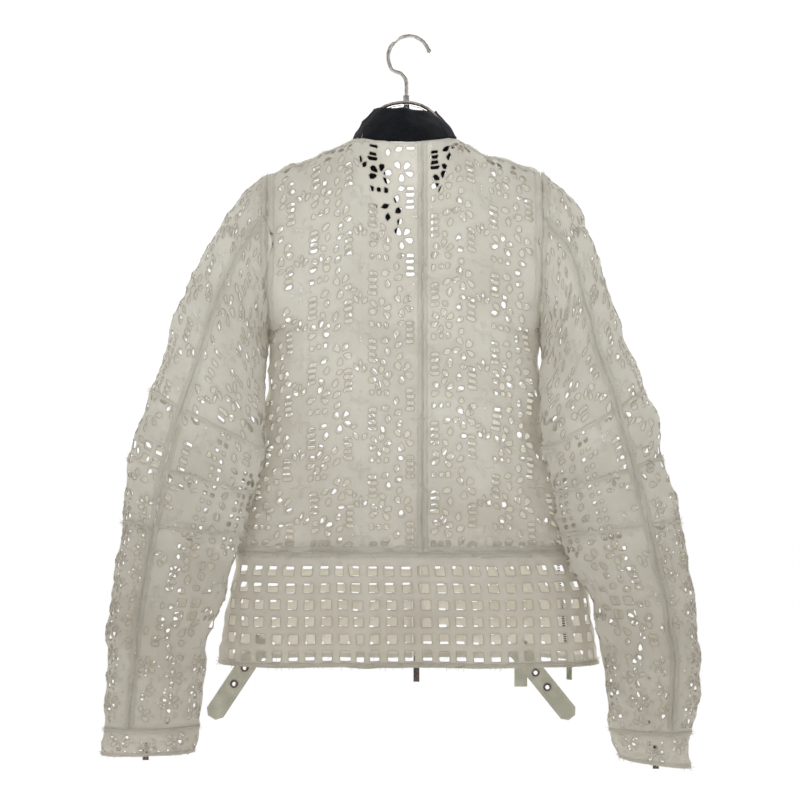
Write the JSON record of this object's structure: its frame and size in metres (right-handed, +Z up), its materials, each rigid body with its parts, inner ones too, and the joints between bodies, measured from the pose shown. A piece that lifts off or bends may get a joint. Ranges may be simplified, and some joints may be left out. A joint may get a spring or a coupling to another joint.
{
  "type": "lace jacket on a wire hanger",
  "caption": "Long-sleeved cutwork cotton jacket with a dark knitted collar, squared hem band and short straps, hanging on a steel wire hanger by its hook.",
  "frame": {"origin": "inside of the top of the hanger hook, where a rail carries it", "axes": "+Z up, -Y out of the jacket's back, +Y out of its front, +X to the right in the picture, which is the wearer's right"},
  "size_m": [0.6769, 0.1427, 0.8438],
  "materials": {
    "lace_cloth": "ivory cotton cutwork, matt, with slightly frayed cut edges",
    "collar_knit": "near-black navy knit, matt",
    "zip_tape": "ivory woven tape",
    "strap_leather": "smooth off-white leather with a satin face",
    "hanger_steel": "polished steel wire",
    "dark_metal": "dark antique finish",
    "olive_metal": "dull olive antique finish"
  },
  "bodies": {
    "jacket": {"back_left": "lace_cloth", "back_right": "lace_cloth", "front_left": "lace_cloth", "front_right": "lace_cloth", "band_back": "lace_cloth", "band_front_left": "lace_cloth", "band_front_right": "lace_cloth", "sleeve_left_top": "lace_cloth", "sleeve_left_under": "lace_cloth", "sleeve_right_top": "lace_cloth", "sleeve_right_under": "lace_cloth", "cuff_left": "lace_cloth", "cuff_right": "lace_cloth", "collar": "collar_knit", "zip_tape_left": "zip_tape", "zip_tape_right": "zip_tape", "hanger_hook": "hanger_steel", "hanger_boss": "hanger_steel", "hanger_bar": "hanger_steel", "hanger_nut": "hanger_steel", "hanger_arm_left": "hanger_steel", "hanger_arm_right": "hanger_steel", "strap_left": "strap_leather", "strap_right": "strap_leather", "strap_tab": "strap_leather", "eyelet_left_1": "dark_metal", "eyelet_left_2": "dark_metal", "eyelet_right_1": "dark_metal", "eyelet_right_2": "dark_metal", "slider_front": "dark_metal", "slider_side": "dark_metal", "slider_cuff_left": "dark_metal", "slider_cuff_right": "dark_metal"},
    "front_pull": {"pull_front": "dark_metal"},
    "side_pull": {"pull_side": "olive_metal"},
    "left_cuff_pull": {"pull_cuff_left": "dark_metal"},
    "right_cuff_pull": {"pull_cuff_right": "dark_metal"}
  },
  "joints": [
    {"name": "front_pull_hinge", "type": "hinge", "parent": "jacket", "child": "front_pull", "pos_m": [0.009, 0.06116, -0.72], "axis": [1, 0, 0], "range_deg": [0, 150]},
    {"name": "side_pull_hinge", "type": "hinge", "parent": "jacket", "child": "side_pull", "pos_m": [0.18795, 0.04871, -0.716], "axis": [0.7431, -0.6691, 0], "range_deg": [0, 150]},
    {"name": "left_cuff_pull_hinge", "type": "hinge", "parent": "jacket", "child": "left_cuff_pull", "pos_m": [-0.302, -0.00819, -0.801], "axis": [1, 0, 0], "range_deg": [0, 150]},
    {"name": "right_cuff_pull_hinge", "type": "hinge", "parent": "jacket", "child": "right_cuff_pull", "pos_m": [0.283, -0.0082, -0.811], "axis": [1, 0, 0], "range_deg": [0, 150]}
  ]
}
